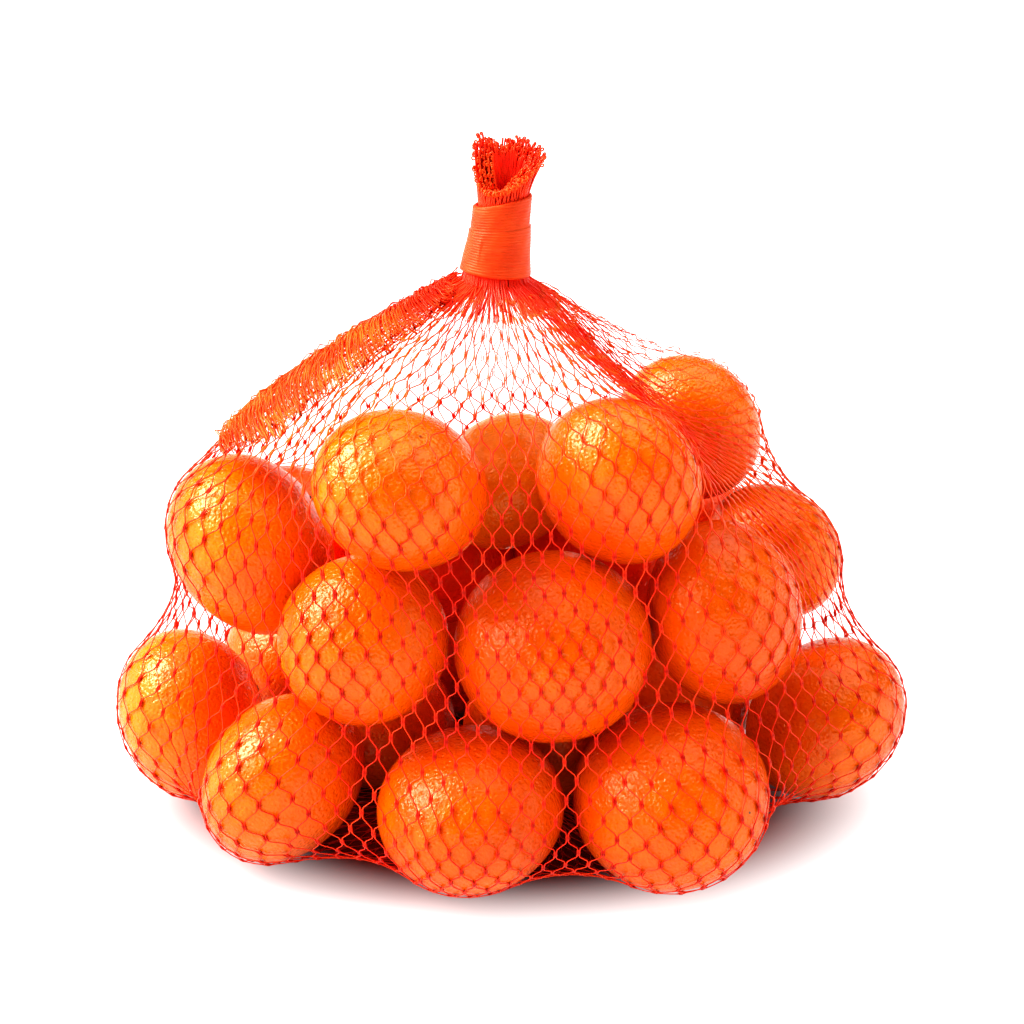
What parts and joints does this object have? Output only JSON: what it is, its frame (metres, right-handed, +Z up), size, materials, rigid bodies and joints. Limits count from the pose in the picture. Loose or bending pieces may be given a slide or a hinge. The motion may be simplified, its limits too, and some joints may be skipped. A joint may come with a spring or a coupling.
{
  "type": "net bag of mandarins",
  "caption": "Net bag of mandarins: a knitted tubular net drawn tight over a heap of fruit, tied at the neck with wound tape and ending in a flared tuft.",
  "frame": {"origin": "on the table, under the middle of the bounding box", "axes": "+X along the bag's longest side, +Y away from the front, +Z up towards the tied neck"},
  "size_m": [0.2836, 0.1978, 0.2356],
  "materials": {
    "net": "orange mandarins with glossy pored peel under a glossy red-orange knitted plastic net",
    "tape": "satin orange stretch tape wound round the neck, with fine winding lines"
  },
  "bodies": {
    "root": {"net": "net", "band": "tape"}
  },
  "joints": []
}
